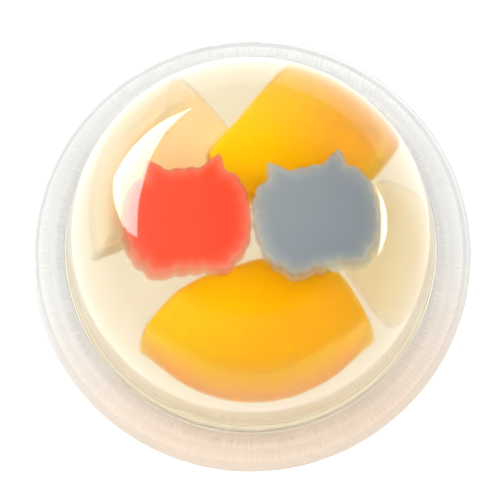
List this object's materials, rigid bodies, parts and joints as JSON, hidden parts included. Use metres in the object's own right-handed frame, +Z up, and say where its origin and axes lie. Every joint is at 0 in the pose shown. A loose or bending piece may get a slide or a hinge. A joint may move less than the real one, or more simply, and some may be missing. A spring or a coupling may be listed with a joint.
{
  "type": "moulded fruit jelly",
  "caption": "Clear dome of moulded fruit jelly in its thin flanged cup, standing dome up on a flat seal film, with fruit slices and coloured jelly shapes inside.",
  "frame": {"origin": "middle of the seal film's underside, on the surface that the jelly stands on", "axes": "+Z up through the crown of the dome; -Y is the side towards the viewer, +X to the viewer's right"},
  "size_m": [0.095, 0.095, 0.0431],
  "materials": {
    "cup_plastic": "clear, thin and glossy, with a milky embossed seal band on the flange",
    "film_plastic": "thin milky seal film",
    "clear_jelly": "clear, wet, pale yellow jelly",
    "yellow_peach": "moist yellow peach flesh with a paler skin side",
    "white_peach": "moist white peach flesh",
    "red_jelly": "cloudy coral red jelly with softer edges",
    "blue_jelly": "cloudy grey-blue jelly with softer edges"
  },
  "bodies": {
    "root": {"cup": "cup_plastic", "film": "film_plastic", "jelly": "clear_jelly"}
  },
  "joints": []
}
